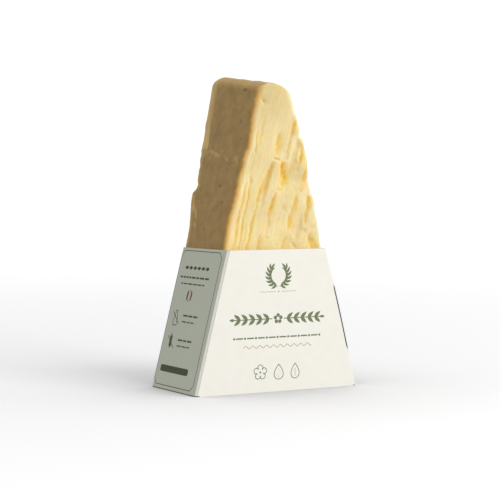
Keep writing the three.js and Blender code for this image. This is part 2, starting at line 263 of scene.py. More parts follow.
# Pinholes in the knife-cut side: y, z, radius, depth.
CUT_PITS = (
    (-2.7, 129.0, 0.75, 0.7), (3.5, 120.5, 0.5, 0.35), (8.0, 113.0, 0.5, 0.3), (-5.3, 115.0, 0.55, 0.45),
    (-8.3, 107.3, 0.6, 0.4), (0.3, 87.5, 0.75, 0.5), (-4.5, 80.5, 0.6, 0.35), (6.0, 69.0, 0.55, 0.3),
    (-6.0, 76.0, 0.5, 0.25), (9.5, 74.5, 0.35, 0.25), (-9.0, 121.0, 0.3, 0.2), (14.0, 118.5, 0.3, 0.2),
)
SCORE = dict(height=99.4, slope=0.14, band=1.6)  # band is half the height of its band of flecks
# Chips off the cut side's back edge: start y and z, end y and z, half widths, depth.
CUT_CHIPS = (
    (24.6, 115.5, 22.4, 108.0, 0.5, 0.9, 0.55),
    (22.4, 108.0, 20.6, 104.5, 1.1, 0.8, 0.6),
    (22.8, 83.5, 20.5, 77.0, 0.6, 0.9, 0.8),
    (19.0, 77.5, 17.0, 73.5, 0.9, 0.7, 0.6),
    (17.2, 71.5, 15.2, 69.5, 0.9, 0.6, 0.5),
)


def away_from(channel, u, z):
    """Offset of a point from a tapered channel, the half width there, and how far along it is."""
    u0, z0, u1, z1, w0, w1 = channel[:6]
    du, dz = u1 - u0, z1 - z0
    t = np.clip(((u - u0) * du + (z - z0) * dz) / (du * du + dz * dz), 0, 1)
    return u - lerp(u0, u1, t), z - lerp(z0, z1, t), lerp(w0, w1, t), t


def groove(channel, u, z, steep=0.45, gentle=1.6):
    """A channel that drops off steeply at its left and climbs gently to its right."""
    du, dz, width, t = away_from(channel, u, z)
    flank = lerp(steep, gentle, smooth(du, -0.3, 0.3))
    fullness = 1 - 0.6 * np.abs(2 * t - 1) ** 3
    return -channel[6] * fullness * np.exp(-((du / flank / width) ** 2) - (dz / width) ** 2)


def slab(plate, u, z):
    """A plate with a crisp top end, that thins out downwards."""
    left, right, top, bottom, height, side_soft, top_soft, bottom_soft = plate
    across = smooth(u - left, -side_soft, 0.8) * (1 - smooth(u - right, -0.8, 0.8))
    return height * across * smooth(top - z, -top_soft, top_soft) * smooth(z - bottom, 0, bottom_soft)


def left_x(z):
    return -HALF_BASE + TAPER * z


def width_at(z):
    return -2 * left_x(z)


def shown(z):
    """0 inside the sleeve, 1 above it."""
    return smooth(z, *SHOWN)


def wander(u, z, seed):
    """Shifts u a little, so that grooves and plates have ragged edges."""
    ragged = 0.22 * noise(u / 1.1, z / 1.4, seed + 1) + 0.1 * noise(u / 0.5, z / 0.6, seed + 2)
    return u + 0.3 * noise(u / 3, z / 3.6, seed) + ragged


def roughness(u, z, seed, strength):
    """Unevenness between the grooves: waves, crumbs, thin fibres along the grain and split layers."""
    crumbly = smooth(u, 8, 20) * (1 - smooth(z, 108, 122))
    waves = noise(u / 6, z / 12, seed) * 0.3
    crumbs = noise(u / 3.6, z / 7, seed + 3) * 0.4
    fibres = noise(u / 0.9, z / 10, seed + 6) * 0.09 + noise(u / 1.7, z / 13, seed + 7) * 0.12
    fibres = fibres * (1 - 0.6 * smooth(z, 98, 112))
    grains = noise(u / 1.3, z / 1.7, seed + 8) * 0.07 + noise(u / 0.7, z / 0.9, seed + 9) * 0.03
    layers = noise(u / 2.4, z / 9, seed + 10) * 2.2
    step = np.floor(layers)
    split = (step + smooth(layers - step, 0.25, 0.75) - layers) * 0.35
    fine = strength * (fibres + grains * (0.3 + crumbly) + split * (0.2 + 0.6 * crumbly))
    return waves + crumbly * crumbs + fine


def draw(n, kind):
    return float(lattice(n, kind, BACK_SEED))


def back_strokes():
    """The back's grooves and plates, drawn by the part's rule, and finer ones between them."""
    grooves, slabs = [], []
    for n in BACK_COARSE:
        z = lerp(64, 122, n * SPREAD % 1)
        u = lerp(2, max(4, width_at(z) - 1), draw(n, 1))
        long, wide = lerp(6, 22, draw(n, 2)), lerp(1.1, 1.7, draw(n, 3))
        end = u + lerp(-1, 1, draw(n, 4))
        grooves.append((u, z + long / 2, end, z - long / 2, wide * 0.75, wide * 0.75, wide * 0.7))
    for n in range(BACK_PLATES):
        top = lerp(72, 120, (n + 0.5) / BACK_PLATES)
        height = lerp(0.8, 1.8, draw(n, 7))
        side = lerp(6, 0.6 * width_at(top), draw(n, 6))
        slabs.append((side, BEYOND, top, top - 18, height, 0.8, 0.8, 12.0))
    for n in BACK_FINE:
        z = lerp(60, 124, n * SPREAD % 1)
        u = lerp(3, max(5, width_at(z) - 1), draw(n, 1))
        long, wide = lerp(3, 13, draw(n, 2)), lerp(0.3, 0.6, draw(n, 3))
        end = u + lerp(-0.6, 0.6, draw(n, 4))
        grooves.append((u, z + long / 2, end, z - long / 2, wide, wide, wide * 0.7))
    return grooves, slabs


BACK_GROOVES, BACK_SLABS = back_strokes()


def uneven(u, z, seed):
    """Makes the floor of a groove rough."""
    return 1 + 0.3 * noise(u / 0.9, z / 1.6, seed) + 0.2 * noise(u / 2, z / 3.5, seed + 1)


def front_hollows(u, z):
    shifted = wander(u, z, 50)
    return uneven(u, z, 54) * sum(groove(one, shifted, z) for one in FRONT_GROOVES)


def front_crumbs(u, z):
    crumbs = 0
    for cu, cz, half, height in FRONT_CRUMBS:
        reach = np.hypot(u - cu, z - cz) / half + 0.4 * noise(u / 0.6, z / 0.6, 57)
        crumbs = crumbs + height * (1 - smooth(reach, 0.5, 1.1))
    return crumbs


def front_relief(u, z, strength):
    shifted = wander(u, z, 50)
    relief = roughness(u, z, 3, strength) + 0.5 * np.exp(-(((u - 1.2) / 1.8) ** 2))
    relief = relief + groove(WORN_EDGE, u, z)
    relief = relief + front_hollows(u, z)
    for one in FRONT_SLABS:
        relief = relief + slab(one, shifted, z)
    return relief + strength * front_crumbs(u, z)


def off_left_edge(u):
    """0 at the back's left edge, which keeps only its own chips, and 1 away from it."""
    return smooth(u, 3, 7)


def back_hollows(u, z):
    shifted = wander(u, z, 60)
    return off_left_edge(u) * uneven(u, z, 64) * sum(groove(one, shifted, z) for one in BACK_GROOVES)


def back_relief(u, z, strength):
    shifted = wander(u, z, 60)
    relief = roughness(u, z, 40, strength) + back_hollows(u, z)
    ragged = z + 2.2 * noise(u / 6, u * 0, 66) + 0.8 * noise(u / 1.6, u * 0, 67)
    for one in BACK_SLABS:
        relief = relief + off_left_edge(u) * slab(one, shifted, ragged)
    top, long, height = BACK_CHIP
    begin, end = smooth(top - z, -1.1, 1.1), smooth(z, top - long, top)
    relief = relief + height * begin * end * np.exp(-((u / 9) ** 2))
    return relief + sum(groove(one, u, z) for one in BACK_NICKS)


def above_score(y, z):
    """Height above the ragged score that crosses the cut side."""
    line = SCORE["height"] + SCORE["slope"] * y
    return z - line - noise(y / 3.2, y * 0, 21) - 0.4 * noise(y / 0.9, y * 0, 22)


def cut_chips(y, z):
    """Crumbs torn out of the cut side: a few long ones at its edge, and small ones along the score."""
    near_score = np.exp(-((above_score(y, z) / SCORE["band"]) ** 2))
    flecks = smooth(noise(y / 1.7, z / 1.2, 24) + 0.6 * noise(y / 3.4, z / 2.2, 25), 0.0, 0.9)
    torn = sum(groove(one, y, z, steep=1, gentle=1) for one in CUT_CHIPS)
    lip = np.exp(-((above_score(y, z) / 0.4) ** 2)) * smooth(noise(y / 2.2, y * 0, 26), -0.4, 0.5)
    return torn - (0.4 * near_score * flecks * smooth(y, -13, -6) + 0.16 * lip) * smooth(y, -17, -13)


def cut_pits(y, z):
    return sum(depth * np.exp(-(((y - py) / radius) ** 2) - ((z - pz) / radius / 0.8) ** 2)
               for py, pz, radius, depth in CUT_PITS)


def cut_relief(y, z, strength):
    """The knife cut: gentle waves, faint drag marks, one ragged score across it and pinholes."""
    score = above_score(y, z)
    relief = 0.15 * noise(y / 9, z / 14, 17)
    relief = relief + 0.3 * smooth(score, -0.35, 0.35) * (1 - smooth(score, 0, 9))
    relief = relief + strength * (0.05 * noise(y / 2.6, z / 2.6, 18) + 0.03 * noise(y / 1.1, z / 4, 19))
    return relief + cut_chips(y, z) - cut_pits(y, z)


# ---------------------------------------------------------------- the wedge as distances to its faces

def rounded(a, b, radius):
    """The larger of two distances, with the edge between the two faces rounded."""
    out = np.hypot(np.maximum(a + radius, 0), np.maximum(b + radius, 0))
    return np.minimum(-radius, np.maximum(a, b)) + out


def top_z(y):
    return TOP + TOP_RISE * y


def faces(p, strength):
    """Signed distances to the wedge's faces, in millimetres."""
    x, y, z = p.T
    u = x - left_x(z)
    seen = shown(z)
    across = np.clip(u / np.maximum(width_at(z), 1), 0, 1)
    spread = (FRONT_RIGHT + FRONT_RIGHT_TIP * smooth(z, *FRONT_TURNS)) * (1 - (1 - across) ** FRONT_CROWN)
    near, far = (y < -CORE_HALF) & (z > SHOWN[0]), (y > CORE_HALF) & (z > SHOWN[0])
    front_out, back_out = np.zeros_like(x), np.zeros_like(x)
    front_out[near] = front_relief(u[near], z[near], strength)
    back_out[far] = back_relief(u[far], z[far], strength) + BACK_SHOWN
    swell = sum(height * np.exp(-(((z - middle) / half) ** 2)) for middle, half, height in FRONT_WAVES)
    swell = (swell - TIP_PULL * smooth(z, *TIP_PULLS)) * (1 - across)
    above = np.maximum(0, z - SLEEVE["height"])
    limit = ROOM + 4 * above
    front_y = lerp(-FRONT_HIDDEN, -(FRONT_LEFT + swell + spread) - front_out, seen)
    front_y = np.maximum(front_y, -limit)
    back_y = np.minimum(BACK + BACK_LEAN * above + seen * back_out, limit)
    crown = 0.35 * noise(x / 5, y / 6, 31) + strength * 0.08 * noise(x / 1.3, y / 1.5, 32)
    lip = left_x(top_z(y))
    rise = z - top_z(y) + SHOULDER_DROP
    return dict(
        left=(left_x(z) - x) / SLANT - seen * cut_relief(y, z, strength),
        right=(x + left_x(z)) / SLANT - seen * 0.12 * noise(y / 7, z / 9, 23),
        front=front_y - y,
        back=y - back_y,
        top=z - top_z(y) - crown,
        shoulder=rise * math.cos(SHOULDER_ANGLE) - (x - lip) * math.sin(SHOULDER_ANGLE),
        bottom=BOTTOM - z,
    )


def distance(p, strength):
    f = faces(p, strength)
    body = np.max([rounded(f[one], f[two], radius) for one, two, radius in EDGES], axis=0)
    return rounded(body, f["bottom"], BOTTOM_EDGE)


# ---------------------------------------------------------------- the wedge's mesh

GRID = dict(across=150, through=46, hidden_rows=8, shown_rows=200)
HIDDEN_LEVEL = 57.0  # rows are sparse below this height, inside the sleeve
REACH = 4.0  # how deep under the skin each search for the surface starts
START_SLACK = 0.4  # how much nearer to the skin it starts at the front
SEARCH_FAR = 3.0  # how far it goes, in steps from the start to the plain face
SEARCH_HALVINGS = 22


def crowd(t):
    """Draws grid lines closer together towards the edges."""
    return 0.5 * t + 0.5 * np.sin(t * math.pi / 2)


def box_grid():
    """Vertices of a subdivided cube from -1 to 1, and its outward quads."""
    n = (GRID["across"], GRID["through"], GRID["hidden_rows"] + GRID["shown_rows"])
    number = -np.ones([k + 1 for k in n], dtype=np.int64)
    surface = np.zeros_like(number, dtype=bool)
    for axis in range(3):
        for end in (0, -1):
            surface[tuple(end if a == axis else slice(None) for a in range(3))] = True
    number[surface] = np.arange(surface.sum())
    points = np.argwhere(surface) / np.array(n) * 2 - 1
    quads = []
    for axis in range(3):
        for end in (0, -1):
            sheet = number[tuple(end if a == axis else slice(None) for a in range(3))]
            corners = [sheet[:-1, :-1], sheet[1:, :-1], sheet[1:, 1:], sheet[:-1, 1:]]
            outward = (end == -1) != (axis == 1)
            if not outward:
                corners.reverse()
            quads.append(np.stack([c.ravel() for c in corners], axis=1))
    return points, np.concatenate(quads)


def plain_points(cube):
    """Places the cube's points on the wedge's plain faces."""
    a, b = crowd(cube[:, 0]), crowd(cube[:, 1])
    row = (cube[:, 2] + 1) / 2
    split = GRID["hidden_rows"] / (GRID["hidden_rows"] + GRID["shown_rows"])
    y = lerp(-FRONT_HIDDEN, BACK, (b + 1) / 2)
    low = lerp(BOTTOM, HIDDEN_LEVEL, row / split)
    high = lerp(HIDDEN_LEVEL, top_z(y), (row - split) / (1 - split))
    z = np.where(row < split, low, high)
    lean = BACK_LEAN * np.maximum(0, z - SLEEVE["height"])
    y = lerp(-FRONT_HIDDEN, BACK + lean, (b + 1) / 2)
    return np.stack([a * -left_x(z), y, z], axis=1)


def skin_points(cube, strength):
    """Walks out from a point under each plain one until it meets the carved surface."""
    outer = plain_points(cube)
    inner = outer.copy()
    inner[:, 2] = np.clip(outer[:, 2], BOTTOM + REACH, top_z(outer[:, 1]) - REACH)
    half = -left_x(inner[:, 2]) - REACH
    inner[:, 0] = np.clip(outer[:, 0], -half, half)
    lean = BACK_LEAN * np.maximum(0, inner[:, 2] - SLEEVE["height"])
    deepest = FRONT_HIDDEN - FRONT_LEFT
    inner[:, 1] = np.clip(outer[:, 1], -FRONT_HIDDEN + REACH + deepest - START_SLACK, BACK + lean - REACH)
    near, far = np.zeros(len(outer)), np.full(len(outer), SEARCH_FAR)
    for _ in range(SEARCH_HALVINGS):
        t = (near + far) / 2
        inside = distance(inner + (outer - inner) * t[:, None], strength) < 0
        near, far = np.where(inside, t, near), np.where(inside, far, t)
    return inner + (outer - inner) * near[:, None]


def new_piece(name, points, polygons, materials, slot, smooth_faces=True):
    """Makes one mesh piece in metres from points in millimetres, riding on the body."""
    mesh = bpy.data.meshes.new(name)
    mesh.from_pydata((np.asarray(points) * MM).tolist(), [], [list(map(int, q)) for q in polygons])
    mesh.validate()
    mesh.polygons.foreach_set("use_smooth", [smooth_faces] * len(mesh.polygons))
    for material in materials:
        mesh.materials.append(material)
    mesh.update()
    piece = bpy.data.objects.new(name, mesh)
    bpy.context.scene.collection.objects.link(piece)
    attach(piece, BODY)
    return piece


END_DRYNESS = 0.7  # the narrow end has dried less than the cut sides
RIGHT_DRIES_LATER = 2.6  # the dried skin starts this much further round the right edge
RIGHT_EDGE_LIGHT = 0.3  # how much painted light makes the split faces paler at the right edge
FLANK_SHADE = 0.16  # how much painted golden shade the left-facing flank of a ledge gets
GOLDEN_DEPTH = 0.9  # how deep a groove is where its painted golden shade is mostly full
RIGHT_PALER = 0.12  # how much less painted golden shade the hollows get towards the right edge
GRAIN_STRETCH = 5.0  # how much longer than wide a streak along the grain is
EDGE_HIGHLIGHT_HEIGHTS = (98, 107)  # the painted highlight on the cut side's back edge is stronger above these


def store(mesh, name, values):
    """Keeps one number per vertex for the material to read."""
    layer = mesh.attributes.new(name, "FLOAT", "POINT")
    layer.data.foreach_set("value", np.ascontiguousarray(values, dtype=np.float32))


def hollow_and_flank_shade(u, y, z, normal_x):
    """How golden the split faces are, as painted shade: more in the hollows, and on flanks that face left,
    away from the light.
    """
    hollows = np.where(y < 0, front_hollows(u, z), back_hollows(u, z)) * shown(z)
    golden = 1 - np.exp(np.minimum(hollows, 0) / GOLDEN_DEPTH)
    # painted shade on flanks that face left, away from the light
    flank = FLANK_SHADE * smooth(-normal_x, 0.4, 0.9) * smooth(u, 4, 8) * shown(z)
    return np.clip(golden + flank, 0, 1) * (1 - RIGHT_PALER * smooth(u, 20, 30))


def back_edge_chips_and_highlight(from_back, z):
    """How pale the cut side's back edge is: a narrow pale line, and a wider band near the top, partly pale
    chipped cheese and partly a painted highlight.
    """
    high = smooth(z, *EDGE_HIGHLIGHT_HEIGHTS)
    return np.maximum(smooth(from_back, -4.0, -1.6) * (0.4 + 0.5 * high),
                      0.6 * smooth(from_back, -6.4, -4.4) * high)


def wedge_tones(points, normal_x, strength):
    """One number a vertex for each tone that the cheese's material mixes in."""
    x, y, z = points.T
    u = x - left_x(z)
    f = faces(points, strength)
    broken = np.maximum(f["front"], f["back"])
    cut, end = np.maximum(f["left"], f["right"]), np.maximum(f["top"], f["shoulder"])
    edge_noise = 0.5 * noise(y / 1.5, z / 1.5, 33)
    from_split = np.where(x < 0, cut, cut - RIGHT_DRIES_LATER) - np.maximum(broken, end)
    dried = smooth(from_split + edge_noise, -0.4, 1.4)
    dried_end = END_DRYNESS * smooth(end - broken + edge_noise, -0.4, 1.4)
    # painted glow on the left edge, where the lit front turns into the shaded left side
    left_edge_glow = smooth(np.where(x < 0, from_split, -9) + 0.4 * edge_noise, -2.6, 0.5)
    others = np.max([f["front"], f["back"], f["right"], f["top"]], axis=0)
    left = smooth(f["left"] - others, -1.0, 0.5)
    edge_chips_and_highlight = back_edge_chips_and_highlight(f["back"] + 0.7 * noise(y / 1.2, z / 3, 34), z) * left
    on_split = smooth(broken - np.maximum(cut, end), -2.5, 0.5)
    return dict(
        golden_hollow_shade=hollow_and_flank_shade(u, y, z, normal_x) * on_split,
        cut=np.maximum(dried, dried_end),
        # painted light at the right edge
        pale=RIGHT_EDGE_LIGHT * smooth(u / width_at(z), 0.7, 1.0) * (1 - dried),
        # rim: the painted glow at the left edge and along the top end
        rim=np.maximum(left_edge_glow, 0.4 * smooth(end - broken, -1.0, 0.5)),
        chip_and_highlight=np.clip(-cut_chips(y, z) * 1.6 * left + edge_chips_and_highlight, 0, 1),
        pit=np.clip(cut_pits(y, z) * 2.5, 0, 1) * left,
    )


def carve_wedge(settings):
    cube, quads = box_grid()
    points = skin_points(cube, settings.relief)
    wedge = new_piece("cheese_chunk", points, quads, [hard_cheese(settings)], "cheese")
    normals = np.empty(3 * len(points), dtype=np.float32)
    wedge.data.vertex_normals.foreach_get("vector", normals)
    for name, values in wedge_tones(points, normals[::3], settings.relief).items():
        store(wedge.data, name, values)
    x, y, z = points.T
    along = np.stack([x - left_x(z), y, z / GRAIN_STRETCH], axis=1) * MM
    grain = wedge.data.attributes.new("grain", "FLOAT_VECTOR", "POINT")
    grain.data.foreach_set("vector", along.astype(np.float32).ravel())
    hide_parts(WEDGE_NODE)


# ---------------------------------------------------------------- materials

MIX = dict(data_type="RGBA", clamp_factor=True)  # its inputs 0, 6 and 7 are the share and two colours
MEAL = "#fbeec6"  # ground almond in the split faces
# Real sizes of the patterns, in millimetres. Crumbs, fibres and speckle are finer in life, and are
# drawn this coarse so that they show.
CHEESE_GRAIN = dict(cloud=9, stain=4.5, streak=1.6, meal=1.1, crumb=0.45)
BOARD_GRAIN = dict(cloud=5, fibre=0.35)
INK_SPECKLE = 0.6
PAPER_CLOUD = 40
SEAM = dict(width=0.012, tone=0.28)  # thin splits between fibres, drawn as lines of painted shade: share of the streaks, how golden
PAPER_GLOW = dict(near=0.28, far=0.5, begin=150.0, end=900.0)  # lights keep the paper near white
CONTACT = dict(reach=110.0, depth=0.9)  # painted soft shade on the paper where the piece stands on it


def fill(tree, node, inputs):
    """Sets a node's inputs to values, or links them to other nodes' outputs."""
    for key, value in inputs.items():
        if isinstance(value, bpy.types.NodeSocket):
            tree.links.new(value, node.inputs[key])
        else:
            node.inputs[key].default_value = value


def add_node(tree, kind, inputs=None, **settings):
    """Adds a node, sets its attributes and fills its inputs."""
    node = tree.nodes.new(kind)
    for key, value in settings.items():
        setattr(node, key, value)
    fill(tree, node, inputs or {})
    return node


def blank_material(name):
    material = bpy.data.materials.new(name)
    material.use_nodes = True
    tree = material.node_tree
    shader = next(n for n in tree.nodes if n.type == "BSDF_PRINCIPLED")
    place = add_node(tree, "ShaderNodeTexCoord").outputs["Object"]
    return material, tree, shader, place


def per_metre(millimetres):
    """The texture scale whose pattern repeats about every so many millimetres."""
    return 1 / (millimetres * MM)


def rgba(rgb):
    return (*rgb, 1.0)


def patches(tree, place, millimetres, detail, span, values):
    """Cloudy patches of a real size: a span of the noise becomes a range of values."""
    pattern = add_node(tree, "ShaderNodeTexNoise",
                       {"Vector": place, "Scale": per_metre(millimetres), "Detail": detail})
    return add_node(tree, "ShaderNodeMapRange", {
        0: pattern.outputs["Fac"], 1: span[0], 2: span[1], 3: values[0], 4: values[1]}).outputs[0]


def shaded(tree, tone, shade):
    """A colour, multiplied by a shade of grey."""
    grey = add_node(tree, "ShaderNodeCombineColor", {0: shade, 1: shade, 2: shade}).outputs[0]
    mix = add_node(tree, "ShaderNodeMix", {0: 1.0, 6: tone, 7: grey}, blend_type="MULTIPLY", **MIX)
    return mix.outputs[2]


def fine_tooth(tree, place, millimetres, detail, strength, depth):
    """Grain that is too fine for the mesh, as a bump of so many millimetres."""
    grain = add_node(tree, "ShaderNodeTexNoise",
                     {"Vector": place, "Scale": per_metre(millimetres), "Detail": detail})
    bump = add_node(tree, "ShaderNodeBump",
                    {"Strength": strength, "Distance": depth * MM, "Height": grain.outputs["Fac"]})
    return bump.outputs[0]


def golden_shade_share(tree, golden_hollow_shade):
    """The hollows' golden painted shade, with streaks along the grain, and thin splits between the fibres
    drawn as golden lines of painted shade.
    """
    along = add_node(tree, "ShaderNodeAttribute", attribute_name="grain").outputs["Vector"]
    streak = add_node(tree, "ShaderNodeTexNoise", {
        "Vector": along, "Scale": per_metre(CHEESE_GRAIN["streak"]), "Detail": 4}).outputs["Fac"]
    gold = add_node(tree, "ShaderNodeMapRange", {0: streak, 1: 0.45, 2: 0.7, 3: 0.0, 4: 0.22}).outputs[0]
    split = add_node(tree, "ShaderNodeMath",
                     {0: streak, 1: 0.5, 2: SEAM["width"]}, operation="COMPARE").outputs[0]
    seam = add_node(tree, "ShaderNodeMath", {0: split, 1: SEAM["tone"]}, operation="MULTIPLY").outputs[0]
    deep = add_node(tree, "ShaderNodeMath", {0: golden_hollow_shade, 1: gold}, operation="ADD").outputs[0]
    return add_node(tree, "ShaderNodeMath", {0: deep, 1: seam}, operation="ADD", use_clamp=True).outputs[0]


def hard_cheese(settings):
    """Hard almond cheese, split by hand and knife-cut.

    Fat and fine almond meal scatter light under the skin, so edges glow and hollows turn golden; the colour
    also carries a painted glow on the left edge, painted golden shade in the hollows and painted light at the
    right edge.
    The split faces are pale and grainy. The cut sides have dried darker and smoother, and their tan is
    darkened further as painted shade.
    """
    material, tree, shader, place = blank_material("almond_cheese_split_and_knife_cut")
    mask = {name: add_node(tree, "ShaderNodeAttribute", attribute_name=name).outputs["Fac"]
            for name in ("golden_hollow_shade", "cut", "rim", "pale", "chip_and_highlight", "pit")}
    stained = patches(tree, place, CHEESE_GRAIN["stain"], 6, (0.34, 0.66), (0.0, 1.0))
    cut_face = add_node(tree, "ShaderNodeMix",
                        {0: stained, 6: rgba(settings.cut), 7: rgba(settings.stain)}, **MIX)
    layers = (
        (mask["pale"], rgba(settings.pale)),
        (golden_shade_share(tree, mask["golden_hollow_shade"]), rgba(settings.golden_hollow_shade)),
        (patches(tree, place, CHEESE_GRAIN["meal"], 4, (0.5, 0.75), (0.0, 0.25)), rgba(linear(MEAL))),
        (mask["rim"], rgba(settings.rim)),
        (mask["cut"], cut_face.outputs[2]),
        (mask["chip_and_highlight"], rgba(settings.chip_and_highlight)),
        (mask["pit"], rgba(settings.pit)),
    )
    base = rgba(settings.broken)
    for share, tone in layers:
        base = add_node(tree, "ShaderNodeMix", {0: share, 6: base, 7: tone}, **MIX).outputs[2]
    cloud = patches(tree, place, CHEESE_GRAIN["cloud"], 3, (0.3, 0.7), (0.94, 1.03))
    fill(tree, shader, {
        "Base Color": shaded(tree, base, cloud),
        "Roughness": patches(tree, place, CHEESE_GRAIN["meal"], 4, (0.3, 0.7), (0.48, 0.66)),
        "IOR": 1.45,
        "Specular IOR Level": 0.35,
        "Subsurface Weight": 0.85,
        "Subsurface Radius": (1.0, 0.76, 0.36),
        "Subsurface Scale": 2.2 * MM,
        "Normal": fine_tooth(tree, place, CHEESE_GRAIN["crumb"], 5, 0.35, 0.12),
    })
    return material


def folding_board(name, face):
    """Uncoated folding board, pressed from wood fibre: matt, with faint clouds and a soft tooth."""
    material, tree, shader, place = blank_material(name)
    cloud, fibre = BOARD_GRAIN["cloud"], BOARD_GRAIN["fibre"]
    fill(tree, shader, {
        "Base Color": shaded(tree, rgba(face), patches(tree, place, cloud, 4, (0.3, 0.7), (0.972, 1.0))),
        "Roughness": patches(tree, place, fibre, 4, (0.3, 0.7), (0.78, 0.9)),
        "IOR": 1.45,
        "Specular IOR Level": 0.25,
        "Normal": fine_tooth(tree, place, fibre, 4, 0.25, 0.03),
    })
    return material


def offset_ink(name, ink):
    """Offset-printed ink on uncoated board: a thin matt film, a little uneven where fibres drink it."""
    material, tree, shader, place = blank_material(name)
    speckle = patches(tree, place, INK_SPECKLE, 3, (0.35, 0.65), (0.92, 1.08))
    fill(tree, shader, {
        "Base Color": shaded(tree, rgba(ink), speckle),
        "Roughness": 0.7,
        "IOR": 1.5,
        "Specular IOR Level": 0.3,
    })
    return material


def studio_paper(tone):
    """Seamless background paper, rolled out flat: matt and even, so only soft shadows show on it, with
    painted soft shade where the piece stands on it.
    """
    material, tree, shader, place = blank_material("seamless_paper_rolled")
    shade = patches(tree, place, PAPER_CLOUD, 2, (0.3, 0.7), (0.99, 1.0))
    # painted shade: the paper's colour and glow darken where the piece closes off the open sky above it
    open_sky = add_node(tree, "ShaderNodeAmbientOcclusion", {"Distance": CONTACT["reach"] * MM})
    contact = add_node(tree, "ShaderNodeMath",
                       {0: open_sky.outputs["AO"], 1: CONTACT["depth"]}, operation="POWER").outputs[0]
    shade = add_node(tree, "ShaderNodeMath", {0: shade, 1: contact}, operation="MULTIPLY").outputs[0]
    away = add_node(tree, "ShaderNodeVectorMath", {0: place}, operation="LENGTH").outputs["Value"]
    glow = add_node(tree, "ShaderNodeMapRange", {
        0: away, 1: PAPER_GLOW["begin"] * MM, 2: PAPER_GLOW["end"] * MM,
        3: PAPER_GLOW["near"], 4: PAPER_GLOW["far"]}).outputs[0]
    fill(tree, shader, {
        "Base Color": shaded(tree, rgba(tone), shade),
        "Roughness": 0.9,
        "Specular IOR Level": 0.1,
        "Emission Color": rgba(tone),
        "Emission Strength": add_node(
            tree, "ShaderNodeMath", {0: glow, 1: contact}, operation="MULTIPLY").outputs[0],
    })
    return material


# ---------------------------------------------------------------- the sleeve

BROAD = ("front", "back")  # the two wide panels
BOARD, SAGE_AND_SHADE, CORE, GAP_SHADE = range(4)  # the sleeve's materials, by their place in its mesh
CREASE = (
    (0.0, 1.3), (0.0, 1.18), (0.03, 1.08), (0.26, 0.84), (0.5, 0.6), (0.74, 0.37), (0.78, 0.2), (0.82, 0.07),
    (0.92, 0.02), (1.1, 0.0), (1.3, 0.0),
)
SLIT = dict(z=0.24, half=0.2, depth=0.42)  # where the base panel tucks under the side panels
SLIT_PROFILE = ((-1, 0), (-0.6, 0.7), (0, 1), (0.6, 0.7), (1, 0))  # its height and depth, as shares
FOOT_EDGE, TOP_EDGE = 0.03, 0.09  # the knife leaves the board's cut edges almost square
FIRST_ROW, LAST_ROW = 2.2, 1.2  # the board's grid: its first row's height, and its last one's from the top
END_STEP = 0.3  # the grid is finer beside a fold
PANEL_STEPS = 34
WAVE = 0.05  # unevenness of the board's panels
WAVE_SEEDS = dict(front=71, back=72, left=73, right=74)
SHARP = 38  # degrees above which an edge of the board is shaded sharp


def half_width(z):
    return SLEEVE["base"] / 2 - TAPER * z


def fold_bow(z):
    """How far the front's right fold bulges outwards."""
    return SLEEVE["fold_bow"] * np.sin(math.pi * np.clip(z / SLEEVE["height"], 0, 1))


def panel_swell(panel, s, z):
    """How far the board stands out of its flat plane: a slight bow, and unevenness of the fibre."""
    if panel in BROAD:
        half = half_width(z) - SLEEVE["fold"]
    else:
        half = SLEEVE["depth"] / 2 - SLEEVE["fold"]
    t = np.clip((s + half) / (2 * half), 0, 1)
    rise = np.sin(math.pi * np.clip(z / SLEEVE["height"], 0, 1))
    wave = WAVE * noise(s / 14, z / 17, WAVE_SEEDS[panel])
    swell = np.sin(math.pi * t) * rise * (SLEEVE["bow"] - WAVE + wave)
    return swell + fold_bow(z) * smooth(-s, 0, half) if panel == "right" else swell


def on_panel(panel, s, z, lift=0.0):
    """A point on a panel, s along it (x, or y on the sides), lifted off the board."""
    s, z = np.asarray(s, dtype=float), np.asarray(z, dtype=float)
    out = panel_swell(panel, s, z) + lift
    if panel == "front":
        return np.stack([s, -SLEEVE["depth"] / 2 - out, z], axis=-1)
    if panel == "back":
        return np.stack([s, SLEEVE["depth"] / 2 + out, z], axis=-1)
    side = -1 if panel == "left" else 1
    return np.stack([side * (half_width(z) + out), s, z], axis=-1)


def fold_points(panel, centre, radius, angle, creased):
    """Points round the fold at a panel's end: a smooth bend, or a creased one with flat faces."""
    along = np.array([math.cos(angle), math.sin(angle)])
    outward = np.array([math.sin(angle), -math.cos(angle)])
    if creased:
        corner = centre + radius * (along + outward)
        if panel not in BROAD:
            return [corner - along * far - outward * near for near, far in CREASE]
        return [corner - along * near - outward * far for near, far in reversed(CREASE)]
    bends = np.linspace(0, math.pi / 2, len(CREASE))
    return [centre + radius * (outward * math.cos(bend) + along * math.sin(bend)) for bend in bends]


